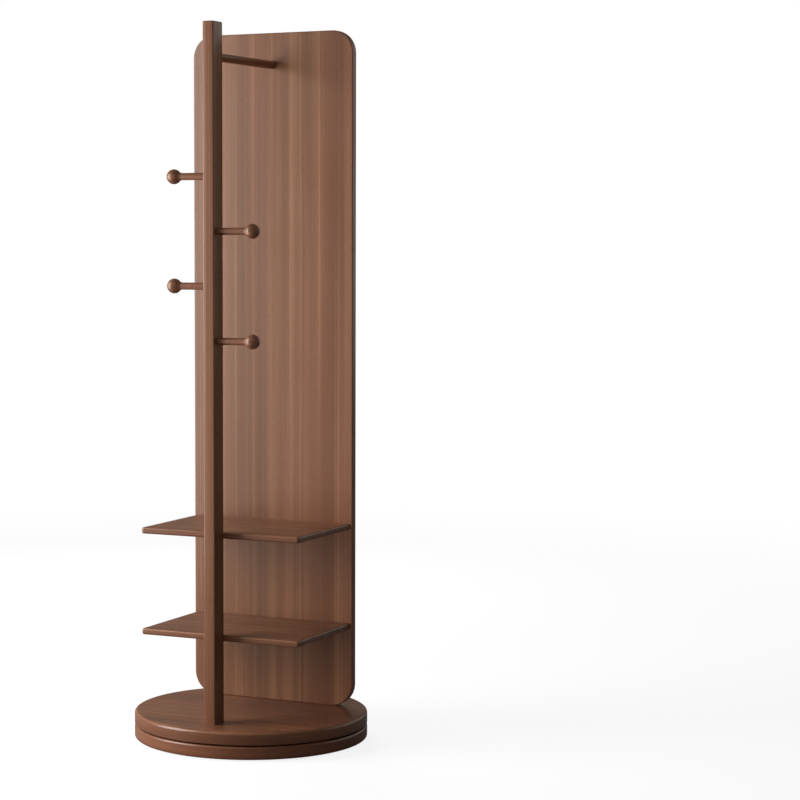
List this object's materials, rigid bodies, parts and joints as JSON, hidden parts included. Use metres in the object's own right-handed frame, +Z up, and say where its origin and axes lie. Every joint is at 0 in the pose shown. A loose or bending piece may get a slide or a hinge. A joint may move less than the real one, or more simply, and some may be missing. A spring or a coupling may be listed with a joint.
{
  "type": "rotating floor mirror with coat rack",
  "caption": "Full-length mirror panel on a round turntable base, with a coat post, hanging rail, ball-ended pegs and shelves carried behind the mirror.",
  "frame": {"origin": "on the turning axis at floor level, at the centre of the base's footprint", "axes": "+Z up; +X across the mirror panel; the mirror faces +Y and the coat post stands towards -Y"},
  "size_m": [0.563, 0.563, 1.703],
  "materials": {
    "walnut": "walnut brown, satin lacquer, fine straight grain",
    "silvered_glass": "silvered float glass with a polished bevelled edge",
    "foam_tape": "white double-sided foam tape",
    "felt_rubber": "black rubber, matte",
    "bearing_aluminium": "turned aluminium, satin",
    "nylon": "natural nylon",
    "ball_steel": "polished bearing steel",
    "zinc_steel": "zinc-plated steel",
    "insert_brass": "yellow-plated threaded sleeve",
    "cam_zinc": "die-cast zinc, satin",
    "beech": "plain beech dowel"
  },
  "bodies": {
    "base": {"foot_pads": "felt_rubber", "base_disc": "walnut", "bearing_outer_ring": "bearing_aluminium", "outer_ring_screws": "zinc_steel"},
    "ball_cage": {"bearing_ball_cage": "nylon", "bearing_balls": "ball_steel"},
    "turntable": {"bearing_inner_ring": "bearing_aluminium", "coat_post": "walnut", "frame_corner_blocks": "walnut", "frame_rail_bottom": "walnut", "frame_rail_top": "walnut", "frame_stile_left": "walnut", "frame_stile_right": "walnut", "hanging_rail": "walnut", "inner_ring_screws": "zinc_steel", "mirror_glass": "silvered_glass", "mirror_tape_strips": "foam_tape", "panel_board": "walnut", "panel_bolt_washers": "zinc_steel", "panel_bolts": "zinc_steel", "panel_inserts": "insert_brass", "peg_dowel_screws": "zinc_steel", "peg_knob_1": "walnut", "peg_knob_2": "walnut", "peg_knob_3": "walnut", "peg_knob_4": "walnut", "peg_rod_1": "walnut", "peg_rod_2": "walnut", "peg_rod_3": "walnut", "peg_rod_4": "walnut", "post_bolt_washers": "zinc_steel", "post_bolts": "zinc_steel", "post_inserts": "insert_brass", "rail_dowel_screws": "zinc_steel", "shelf_cam_bolts": "zinc_steel", "shelf_cams": "cam_zinc", "shelf_dowels": "beech", "shelf_lower": "walnut", "shelf_upper": "walnut", "turntable_disc": "walnut"}
  },
  "joints": [
    {"name": "turntable_spin", "type": "hinge", "parent": "base", "child": "turntable", "pos_m": [0, 0, 0.037], "axis": [0, 0, 1], "continuous": true},
    {"name": "ball_cage_spin", "type": "hinge", "parent": "base", "child": "ball_cage", "pos_m": [0, 0, 0.032], "axis": [0, 0, 1], "continuous": true}
  ],
  "couplings": [
    {"joint": "ball_cage_spin", "follows": "turntable_spin", "ratio": 0.49}
  ]
}
